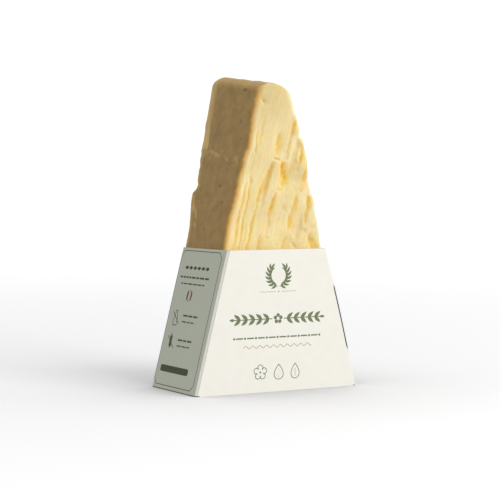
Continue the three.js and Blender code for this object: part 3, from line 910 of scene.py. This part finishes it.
def section(z, inset, side_inset=0.0, outside=True):
    """One level of the tapered tube, counter-clockwise from above, with its folds."""
    half_x = half_width(z) - inset * SLANT - side_inset
    half_y = SLEEVE["depth"] / 2 - inset
    radius = max(SLEEVE["fold"] - inset, 0.5)
    order = (("front", 1, -1), ("right", 1, 1), ("back", -1, 1), ("left", -1, -1))
    points, panels = [], []
    for turn, (panel, sx, sy) in enumerate(order):
        reach, half_run = (half_y, half_x - radius) if panel in BROAD else (half_x, half_y - radius)
        run = 2 * half_run
        steps = [END_STEP, *np.linspace(2 * END_STEP, run - 2 * END_STEP, PANEL_STEPS), run - END_STEP]
        angle = turn * math.pi / 2
        along = np.array([math.cos(angle), math.sin(angle)])
        outward = np.array([math.sin(angle), -math.cos(angle)])
        first = -along * run / 2 + outward * reach
        onward = 1 if panel in ("front", "right") else -1  # whether the tube runs along the panel's own s
        for step in steps:
            s = onward * (step - run / 2)
            swell = float(panel_swell(panel, np.float64(s), np.float64(z)))
            points.append((*(first + along * step + outward * swell), z))
            panels.append(panel)
        centre = np.array([sx * (half_x - radius), sy * (half_y - radius)])
        front_right = panel == "front"
        if front_right:
            centre[0] += fold_bow(z)
        for point in fold_points(panel, centre, radius, angle, outside and not front_right and inset == 0):
            points.append((*point, z))
            panels.append("fold")
    return points, panels


def sleeve_levels(board):
    """The tube's sections, up the outside of the board and then down its inside."""
    height = SLEEVE["height"]
    rows = list(np.linspace(FIRST_ROW, height - LAST_ROW, PANEL_STEPS))
    outside = [section(0.0, FOOT_EDGE)]
    for up, deep in SLIT_PROFILE:
        outside.append(section(SLIT["z"] + up * SLIT["half"], 0, side_inset=deep * SLIT["depth"]))
    outside += [section(z, 0) for z in rows]
    outside += [section(height - TOP_EDGE, 0), section(height, TOP_EDGE)]
    inside = [section(height, board - TOP_EDGE), section(height - TOP_EDGE, board)]
    inside += [section(z, board) for z in reversed(rows)]
    inside.append(section(board, board))
    return outside, inside


def fold_sleeve(settings):
    outside, inside = sleeve_levels(settings.thickness / MM)
    levels = outside + inside
    count = len(levels[0][0])
    points = [p for level, _ in levels for p in level]
    quads, kinds = [], []
    for row in range(len(levels) - 1):
        for i in range(count):
            j = (i + 1) % count
            quads.append((row * count + i, row * count + j, (row + 1) * count + j, (row + 1) * count + i))
            panel = levels[row][1][i]
            if row >= len(outside) - 2:
                kinds.append(CORE)
            elif 1 <= row < len(SLIT_PROFILE) and panel not in BROAD:
                # the slit's faces carry painted shade
                kinds.append(GAP_SHADE)
            else:
                kinds.append(SAGE_AND_SHADE if panel in ("left", "right") else BOARD)
    last = (len(levels) - 1) * count
    quads += [tuple(reversed(range(count))), tuple(range(last, last + count))]
    kinds += [BOARD, CORE]
    materials = [
        folding_board("folding_board_uncoated_cream", settings.board),
        folding_board("folding_board_pale_sage_and_painted_shade", settings.side),
        folding_board("folding_board_cut_edge_and_inside", settings.core),
        folding_board("folding_board_tucked_gap_painted_shade", settings.tuck),
    ]
    sleeve = new_piece("folded_sleeve", points, quads, materials, "card")
    sleeve.data.polygons.foreach_set("material_index", kinds)
    sleeve.data.set_sharp_from_angle(angle=math.radians(SHARP))
    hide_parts(SLEEVE_NODE)


# ---------------------------------------------------------------- flat shapes for the print

FILM_TOP, FILM_BOTTOM = 0.035, -0.03  # the ink film's faces, above and below the board's surface
ARC = 1.2  # longest straight stretch in a shape, so that it follows the board's bow
DASH, DASH_GAP = (1.6, 4.6), 0.75  # shortest and longest dash of a row, and the gap after each


def stroke(points, width, closed=False):
    """A line of even width through the points, as a strip of quads."""
    p = np.asarray(points, dtype=float)
    if closed:
        before, after = np.roll(p, 1, axis=0), np.roll(p, -1, axis=0)
    else:
        before = np.vstack([2 * p[0] - p[1], p[:-1]])
        after = np.vstack([p[1:], 2 * p[-1] - p[-2]])
    one, two = p - before, after - p
    one /= np.linalg.norm(one, axis=1, keepdims=True)
    two /= np.linalg.norm(two, axis=1, keepdims=True)
    tangent = one + two
    tangent /= np.linalg.norm(tangent, axis=1, keepdims=True)
    normal = np.stack([-tangent[:, 1], tangent[:, 0]], axis=1)
    stretch = 1 / np.clip((tangent * two).sum(axis=1), 0.5, 1)
    offset = normal * (stretch * width / 2)[:, None]
    n = len(p)
    quads = [(i, (i + 1) % n, n + (i + 1) % n, n + i) for i in range(n if closed else n - 1)]
    return np.vstack([p - offset, p + offset]), quads


def split_line(points, longest=ARC):
    """Adds points to a polyline, so that no stretch is too long to follow the board."""
    result = [points[0]]
    for a, b in zip(points, points[1:]):
        steps = max(1, math.ceil(math.dist(a, b) / longest))
        result += [(lerp(a[0], b[0], k / steps), lerp(a[1], b[1], k / steps)) for k in range(1, steps + 1)]
    return result


def on_circle(s, z, radius, angle):
    return s + radius * math.cos(angle), z + radius * math.sin(angle)


def ring(s, z, radius, steps, start=0.0):
    """Points round a circle."""
    return [on_circle(s, z, radius, start + 2 * math.pi * k / steps) for k in range(steps)]


def disc(s, z, radius, steps=20):
    return (np.array([(s, z), *ring(s, z, radius, steps)]),
            [(0, k + 1, (k + 1) % steps + 1) for k in range(steps)])


def leaf(s, z, long, wide, angle, steps=8):
    """A pointed leaf that grows from (s, z) at an angle in degrees."""
    t = np.linspace(0, 1, steps + 1)
    half = wide / 2 * np.sin(math.pi * t ** 0.8)
    half[[0, -1]] = 0.02
    turn = math.radians(angle)
    along, across = np.array([math.cos(turn), math.sin(turn)]), np.array([-math.sin(turn), math.cos(turn)])
    spine = np.array([s, z]) + long * t[:, None] * along
    n = steps + 1
    points = np.vstack([spine - half[:, None] * across, spine + half[:, None] * across])
    return points, [(i, i + 1, n + i + 1, n + i) for i in range(steps)]


def bar(s0, s1, z0, z1, radius=0.0):
    """A filled bar with round ends, cut into strips that follow the board."""
    cuts = [s0 + radius * (1 - math.cos(a)) for a in np.linspace(0, math.pi / 2, 5)] if radius else [s0]
    inner = np.linspace(s0 + radius, s1 - radius, max(2, math.ceil((s1 - s0) / ARC)))
    s = np.array(cuts[:-1] + list(inner) + [s0 + s1 - c for c in reversed(cuts[:-1])]) if radius else inner
    near_end = np.minimum(s - s0, s1 - s)
    tuck = radius - np.sqrt(np.maximum(radius ** 2 - (radius - np.minimum(near_end, radius)) ** 2, 0))
    tuck = np.minimum(tuck, (z1 - z0) / 2 - 0.01)
    n = len(s)
    points = np.vstack([np.stack([s, z0 + tuck], axis=1), np.stack([s, z1 - tuck], axis=1)])
    return points, [(i, i + 1, n + i + 1, n + i) for i in range(n - 1)]


def drop(s, z, wide, tall, steps=36):
    """Outline of an almond or a drop, pointed at the top."""
    t = np.linspace(0, 2 * math.pi, steps, endpoint=False)
    return np.stack([s + 0.65 * wide * np.sin(t) * np.sin(t / 2), z + tall / 2 * np.cos(t)], axis=1)


def dashes(s0, s1, z, tall, seed):
    """A row of short bars of uneven length, from one end towards the other."""
    step = 1 if s1 > s0 else -1
    shapes, s, n = [], s0, 0
    while (s1 - s) * step > ARC:
        long = lerp(*DASH, float(lattice(n, 0, seed)))
        end = s + step * min(long, abs(s1 - s))
        shapes.append(bar(min(s, end), max(s, end), z - tall / 2, z + tall / 2))
        s = end + step * DASH_GAP
        n += 1
    return shapes


def print_film(name, ink, placed_shapes):
    """Lays flat shapes on their panels as one closed film of ink."""
    points, polygons = [], []
    for panel, (flat, faces_2d) in placed_shapes:
        area = sum(cross_area(flat[list(f)]) for f in faces_2d)
        mirrored = panel in ("left", "back")
        if (area < 0) != mirrored:
            faces_2d = [tuple(reversed(f)) for f in faces_2d]
        top, under = len(points), len(points) + len(flat)
        for lift in (FILM_TOP, FILM_BOTTOM):
            points += on_panel(panel, flat[:, 0], flat[:, 1], lift).tolist()
        edges = {}
        for face in faces_2d:
            polygons.append([top + i for i in face])
            polygons.append([under + i for i in reversed(face)])
            for a, b in zip(face, face[1:] + face[:1]):
                edges[(a, b)] = True
        for a, b in edges:
            if (b, a) not in edges:
                polygons.append([top + b, top + a, under + a, under + b])
    return new_piece(name, points, polygons, [ink], "card", smooth_faces=False)


def cross_area(corners):
    x, y = corners.T
    return float((x * np.roll(y, -1) - np.roll(x, -1) * y).sum() / 2)


# ---------------------------------------------------------------- the print

# Line widths: ruled frames, thin lines, drawings, the bold strokes and the garland's stem.
FRAME, THIN, DRAWN, BOLD, STEM = 0.28, 0.3, 0.32, 0.34, 0.42
# Places on the front panel, as x and height.
WREATH = (0.0, 49.6, 4.7)  # its middle and radius
WREATH_RULE = dict(ends=(-9.0, 8.8), gap=1.4, low=42.6, high=42.85, dot=(0.0, 42.72, 0.42))
GARLAND, BEADS = (-24.1, 23.4, 31.2), (-22.5, 21.3, 23.3)  # ends and height
WAVE_LINE = dict(ends=(-17.3, 16.6), z=19.5, high=0.55, long=3.4, step=0.28)
BLOSSOM = (-9.0, 8.6, 3.2)  # its middle and radius
ALMONDS = ((0.1, 8.4, 4.5, 6.4), (8.3, 8.4, 4.1, 6.4))  # middle, width and height
ALMOND_SPOTS = ((-0.6, 7.4, 0.22), (0.8, 8.2, 0.22), (0.1, 6.5, 0.22), (0.0, 9.4, 0.2))
ALMOND_VEIN = ((8.3, 6.2), (8.3, 9.6))
# Places on the left panel, as y and height. Its rows run from the back to the front.
LEFT_FRAME = dict(back=19.2, front=-16.6, low=1.9, high=59.4, corner=2.3)
LEFT_LEAVES = dict(ends=(-8.2, 13.5), step=3.7, z=52.2)
# Rows of dashes: ends, height, thickness.
LEFT_ROWS = (
    (16.0, -10.0, 48.1, 0.75), (14.0, -7.0, 45.3, 0.55), (5.3, -8.7, 31.9, 0.7), (5.3, -7.0, 29.3, 0.5),
    (5.3, -8.5, 21.5, 0.7), (5.3, -6.0, 19.0, 0.5),
)
ROW_SEED = 5
ROUNDEL = dict(place=(3.9, 40.4), radius=2.2, low=38.6, high=42.2, dark=(4.95, 6.05), red=(1.75, 2.85))
BOTTLE = dict(place=(11.8, 27.4), tall=6.3, strike=((15.0, 33.0), (8.2, 28.2)))
EAR = dict(y=11.8, low=17.4, high=23.4, first=18.0, pitch=1.15, pairs=4, tip=22.2,
           strike=((15.0, 22.6), (8.3, 17.8)))
LEFT_BAR = (-9.5, 15.7, 7.5, 10.3, 0.9)  # ends, low and high side, radius
# The right panel's frame has slipped forward. Its front side is the rule at the fold.
RIGHT_FRAME = (
    (-19.3, 45.6), (-19.0, 57.1), (-16.7, 59.4), (13.3, 59.4), (15.6, 57.1), (15.6, 4.2), (13.3, 1.9),
    (-16.7, 1.9), (-19.0, 4.2), (-19.3, 15.8),
)
# The rule tapers at its ends. Its middle and half width are angles round the fold, from the front.
FOLD_RULE = dict(low=14.6, high=46.4, rows=40, across=9, taper=3.0, middle=(82, 34), half=(7, 26))


def fifths(turn=90):
    """Five even directions, in radians."""
    return [math.radians(turn + 72 * k) for k in range(5)]


def wreath(s, z, radius):
    """Two sprigs that meet at the bottom of an open ring."""
    shapes = []
    for side in (-1, 1):
        angles = [-math.pi / 2 + side * math.radians(a) for a in range(6, 141, 9)]
        stem = [on_circle(s, z, radius, a) for a in angles]
        shapes.append(stroke(stem, THIN))
        for a in angles[1:-1:2]:
            heading = math.degrees(a) + side * 90
            base = on_circle(s, z, radius, a)
            shapes.append(leaf(*base, 2.7, 1.0, heading + side * -38))
            shapes.append(leaf(*base, 2.3, 0.9, heading + side * 42))
        shapes.append(leaf(*stem[-1], 2.6, 1.0, math.degrees(angles[-1]) + side * 90))
    return shapes


def garland(s0, s1, z):
    """A straight stem with pairs of leaves that grow away from a small rosette."""
    middle = (s0 + s1) / 2
    shapes = []
    for side, end in ((-1, s0), (1, s1)):
        shapes.append(stroke(split_line([(middle + side * 2.9, z), (end - side * 2.4, z)]), STEM))
        for spot in np.arange(4.4, abs(end - middle) - 3.2, 3.5):
            for up in (-1, 1):
                heading = up * 38 if side > 0 else 180 - up * 38
                shapes.append(leaf(middle + side * spot, z, 3.9, 1.5, heading))
        shapes.append(leaf(end - side * 2.6, z, 2.6, 1.2, 0 if side > 0 else 180))
    return shapes + [disc(*on_circle(middle, z, 1.45, a), 0.82) for a in fifths()]


def beads(s0, s1, z):
    """A line of bars and dots."""
    shapes, pitch = [], 5.3
    count = int((s1 - s0) // pitch)
    first = (s0 + s1) / 2 - count * pitch / 2
    for k in range(count):
        s = first + k * pitch
        shapes.append(bar(s + 0.9, s + pitch - 0.9, z - 0.3, z + 0.3, 0.29))
        shapes.append(disc(s, z, 0.5, 14))
    shapes.append(disc(first + count * pitch, z, 0.5, 14))
    return shapes


def flower(s, z, radius):
    """Outline of a five-petalled blossom."""
    shapes = []
    for a in fifths():
        centre = on_circle(s, z, 0.6 * radius, a)
        petal = [on_circle(*centre, 0.4 * radius, b) for b in np.linspace(a - 2.2, a + 2.2, 18)]
        shapes.append(stroke(petal, DRAWN))
    return shapes + [disc(s, z, 0.42, 14)]


def wave_line(ends, z, high, long, step):
    return stroke([(s, z + high * math.sin(s * 2 * math.pi / long)) for s in np.arange(*ends, step)], BOLD)


def front_print():
    """What the front panel carries, by ink."""
    start, end = WREATH_RULE["ends"]
    gap, low, high = (WREATH_RULE[key] for key in ("gap", "low", "high"))
    pale = [wave_line(**WAVE_LINE), bar(start, -gap, low, high), bar(gap, end, low, high),
            disc(*WREATH_RULE["dot"], 12)]
    pale += [disc(*spot, 8) for spot in ALMOND_SPOTS]
    pale.append(stroke(split_line(ALMOND_VEIN), THIN))
    dark = wreath(*WREATH) + garland(*GARLAND) + beads(*BEADS) + flower(*BLOSSOM)
    dark += [stroke(drop(*almond), DRAWN, closed=True) for almond in ALMONDS]
    return [("front", one) for one in dark], [("front", one) for one in pale]


def border(back, front, low, high, corner):
    """A thin ruled frame with cut corners."""
    outline = [
        (back - corner, high), (front + corner, high), (front, high - corner), (front, low + corner),
        (front + corner, low), (back - corner, low), (back, low + corner), (back, high - corner),
    ]
    return stroke(split_line(outline + outline[:1])[:-1], FRAME, closed=True)


def bottle(y, z, tall):
    """Outline of a small bottle."""
    half, neck = tall * 0.26, tall * 0.26 * 0.45
    shoulder, throat = z + tall * 0.55, z + tall * 0.78
    outline = [(y - half, z), (y + half, z), (y + half, shoulder), (y + neck, throat), (y + neck, z + tall),
               (y - neck, z + tall), (y - neck, throat), (y - half, shoulder)]
    return stroke(outline, DRAWN, closed=True)


def ear(y, low, high, first, pitch, pairs, tip):
    """An ear of grain: a stem with pairs of leaves and one at its tip."""
    shapes = [leaf(y, first + pitch * k, 1.9, 0.85, 90 + side * 42) for k in range(pairs) for side in (-1, 1)]
    return shapes + [stroke(split_line([(y, low), (y, high)]), THIN), leaf(y, tip, 1.8, 0.9, 90)]


def side_print():
    """What the side panels carry, by ink."""
    rows = [leaf(y, LEFT_LEAVES["z"], 3.2, 1.5, 0)
            for y in np.arange(*LEFT_LEAVES["ends"], LEFT_LEAVES["step"])]
    for seed, row in enumerate(LEFT_ROWS, ROW_SEED):
        rows += dashes(*row, seed)
    rows += [bottle(*BOTTLE["place"], BOTTLE["tall"]), stroke(split_line(BOTTLE["strike"]), BOLD)]
    rows += ear(**{key: value for key, value in EAR.items() if key != "strike"})
    rows += [stroke(split_line(EAR["strike"]), BOLD), bar(*LEFT_BAR)]
    low, high = ROUNDEL["low"], ROUNDEL["high"]
    rows.append(bar(*ROUNDEL["dark"], low, high))
    rows.append(stroke(ring(*ROUNDEL["place"], ROUNDEL["radius"], 28), 0.2, closed=True))
    frames = [("left", border(**LEFT_FRAME)), ("right", stroke(split_line(RIGHT_FRAME), FRAME))]
    red = [("left", bar(*ROUNDEL["red"], low, high))]
    return frames + [("left", one) for one in rows], red


def fold_rule():
    """The right panel's rule, where it creeps round the front fold and shows from the front."""
    centre_y = -SLEEVE["depth"] / 2 + SLEEVE["fold"]
    heights = np.linspace(FOLD_RULE["low"], FOLD_RULE["high"], FOLD_RULE["rows"])
    across = np.linspace(-1, 1, FOLD_RULE["across"])
    points, polygons = [], []
    for lift in (FILM_TOP, FILM_BOTTOM):
        for z in heights:
            creep = smooth(min(z - heights[0], heights[-1] - z), 0, FOLD_RULE["taper"])
            centre_x = half_width(z) - SLEEVE["fold"] + fold_bow(z)
            middle, half = lerp(*FOLD_RULE["middle"], creep), lerp(*FOLD_RULE["half"], creep)
            for edge in across:
                angle = math.radians(-90 + middle + half * edge)
                points.append((*on_circle(centre_x, centre_y, SLEEVE["fold"] + lift, angle), z))
    wide, rows = len(across), len(heights)
    under = wide * rows
    for row in range(rows - 1):
        for i in range(wide - 1):
            a = row * wide + i
            polygons.append((a, a + 1, a + wide + 1, a + wide))
            polygons.append((under + a + wide, under + a + wide + 1, under + a + 1, under + a))
    rim = [*range(wide), *range(2 * wide - 1, under, wide), *range(under - 2, under - wide - 1, -1),
           *range(under - 2 * wide, 0, -wide)]
    for a, b in zip(rim, rim[1:] + rim[:1]):
        polygons.append((b, a, under + a, under + b))
    return points, polygons


def print_sleeve(settings):
    front_dark, front_pale = front_print()
    side_dark, side_red = side_print()
    films = (
        ("print_front_sage", "offset_ink_deep_sage_printed", settings.dark_ink, front_dark),
        ("print_front_beige", "offset_ink_beige_printed", settings.pale_ink, front_pale),
        # the side panels' ink is darkened as painted shade
        ("print_sides_olive", "offset_ink_sage_darkened_as_shade", settings.side_ink_shaded, side_dark),
        ("print_side_red", "offset_ink_red_printed", settings.red_ink, side_red),
    )
    for name, ink, tone, shapes in films:
        print_film(name, offset_ink(ink, tone), shapes)
    rule_ink = offset_ink("offset_ink_near_black_printed", settings.rule_ink)
    new_piece("print_fold_rule", *fold_rule(), [rule_ink], "card", smooth_faces=False)


# ---------------------------------------------------------------- the stage

CAMERA = dict(place=(-351.7, -603.5, 89.15), yaw=-30.11, pitch=2.44)
SENSOR, CLIP = 36.0, 20.0  # width of the camera's sensor, and the nearest thing that it shows
MIDDLE = (0, 0, 65)  # where the lights are aimed
KEY = dict(place=(430, -1063, 868), size=900)
FRONT = dict(place=(150, -1390, 140), size=500)
SWEEP = dict(half=9000.0, front=-9000.0, turn=700.0, radius=500.0, high=1700.0, steps=16)


def sweep_floor(settings):
    """A pale floor that turns up into a wall behind, with no line between them."""
    profile = [(SWEEP["front"], 0.0), (SWEEP["turn"], 0.0)]
    for a in np.linspace(0, math.pi / 2, SWEEP["steps"] + 1)[1:]:
        profile.append((SWEEP["turn"] + SWEEP["radius"] * math.sin(a), SWEEP["radius"] * (1 - math.cos(a))))
    profile.append((profile[-1][0], SWEEP["high"]))
    points = [(x, y, z) for x in (-SWEEP["half"], SWEEP["half"]) for y, z in profile]
    n = len(profile)
    quads = [(i, n + i, n + i + 1, i + 1) for i in range(n - 1)]
    mesh = bpy.data.meshes.new("floor")
    mesh.from_pydata([tuple(c * MM for c in p) for p in points], [], quads)
    mesh.polygons.foreach_set("use_smooth", [True] * len(quads))
    mesh.materials.append(studio_paper(settings.floor))
    floor = bpy.data.objects.new("floor", mesh)
    floor.rotation_euler[2] = math.radians(CAMERA["yaw"])
    floor.visible_diffuse = False
    bpy.context.scene.collection.objects.link(floor)


def soft_light(name, place, size, power, tone):
    """A square softbox, in millimetres, turned towards the piece."""
    light = bpy.data.lights.new(name, "AREA")
    light.shape = "SQUARE"
    light.size = size * MM
    light.energy = power
    light.color = linear(tone)
    lamp = bpy.data.objects.new(name, light)
    lamp.location = Vector(place) * MM
    lamp.rotation_euler = (Vector(place) - Vector(MIDDLE)).to_track_quat("Z", "Y").to_euler()
    bpy.context.scene.collection.objects.link(lamp)


def set_camera(settings):
    yaw, pitch = math.radians(CAMERA["yaw"]), math.radians(CAMERA["pitch"])
    back = Vector((math.sin(yaw) * math.cos(pitch), -math.cos(yaw) * math.cos(pitch), math.sin(pitch)))
    right = Vector((math.cos(yaw), math.sin(yaw), 0))
    up = back.cross(right)
    data = bpy.data.cameras.new("camera")
    data.lens = settings.focal
    data.sensor_width = SENSOR
    data.clip_start = CLIP * MM
    camera = bpy.data.objects.new("camera", data)
    turn = Matrix((right, up, back)).transposed().to_4x4()
    camera.matrix_world = Matrix.Translation(Vector(CAMERA["place"]) * MM) @ turn
    bpy.context.scene.collection.objects.link(camera)
    bpy.context.scene.camera = camera


def set_stage(settings):
    sweep_floor(settings)
    soft_light("key", power=settings.key, tone="#fffdfa", **KEY)
    soft_light("front", power=settings.front, tone="#fffefc", **FRONT)
    world = bpy.data.worlds.new("studio")
    world.use_nodes = True
    background = next(n for n in world.node_tree.nodes if n.type == "BACKGROUND")
    background.inputs["Color"].default_value = rgba(linear("#fbfcff"))
    background.inputs["Strength"].default_value = settings.fill
    bpy.context.scene.world = world
    bpy.context.scene.view_settings.view_transform = "Standard"
    set_camera(settings)


# ---------------------------------------------------------------- the add-on

class CHEESE_OT_carve_wedge(bpy.types.Operator):
    """Carves the cheese wedge with its grooves, slabs and pits"""
    bl_idname = "cheese.carve_wedge"
    bl_label = "Carve the Wedge"

    def execute(self, context):
        carve_wedge(context.scene.cheese_wedge)
        return {"FINISHED"}


class CHEESE_OT_fold_sleeve(bpy.types.Operator):
    """Folds the card sleeve that the wedge stands in"""
    bl_idname = "cheese.fold_sleeve"
    bl_label = "Fold the Sleeve"

    def execute(self, context):
        fold_sleeve(context.scene.cheese_sleeve)
        return {"FINISHED"}


class CHEESE_OT_print_sleeve(bpy.types.Operator):
    """Prints the sleeve's ornaments and rules"""
    bl_idname = "cheese.print_sleeve"
    bl_label = "Print the Sleeve"

    def execute(self, context):
        print_sleeve(context.scene.cheese_sleeve)
        return {"FINISHED"}


class CHEESE_OT_set_stage(bpy.types.Operator):
    """Sets up the floor, the light and the camera"""
    bl_idname = "cheese.set_stage"
    bl_label = "Set the Stage"

    def execute(self, context):
        set_stage(context.scene.cheese_stage)
        return {"FINISHED"}


class CHEESE_PT_panel(bpy.types.Panel):
    """Lists the steps and their settings"""
    bl_idname = "CHEESE_PT_panel"
    bl_label = "Cheese Wedge"
    bl_space_type = "VIEW_3D"
    bl_region_type = "UI"
    bl_category = "Cheese"

    def draw(self, context):
        for owner, kind, operators in STEPS:
            box = self.layout.box()
            settings = getattr(context.scene, owner)
            for name in kind.__annotations__:
                box.prop(settings, name)
            for operator in operators:
                box.operator(operator.bl_idname)


STEPS = (
    ("cheese_wedge", WedgeSettings, (CHEESE_OT_carve_wedge,)),
    ("cheese_sleeve", SleeveSettings, (CHEESE_OT_fold_sleeve, CHEESE_OT_print_sleeve)),
    ("cheese_stage", StageSettings, (CHEESE_OT_set_stage,)),
)


def register():
    for owner, kind, operators in STEPS:
        for one in (kind, *operators):
            bpy.utils.register_class(one)
        setattr(bpy.types.Scene, owner, bpy.props.PointerProperty(type=kind))
    bpy.utils.register_class(CHEESE_PT_panel)


def unregister():
    bpy.utils.unregister_class(CHEESE_PT_panel)
    for owner, kind, operators in reversed(STEPS):
        delattr(bpy.types.Scene, owner)
        for one in (*operators, kind):
            bpy.utils.unregister_class(one)


def main():
    register()
    bpy.ops.cheese.carve_wedge()
    bpy.ops.cheese.fold_sleeve()
    bpy.ops.cheese.print_sleeve()
    bpy.ops.cheese.set_stage()


if __name__ == "__main__":
    main()
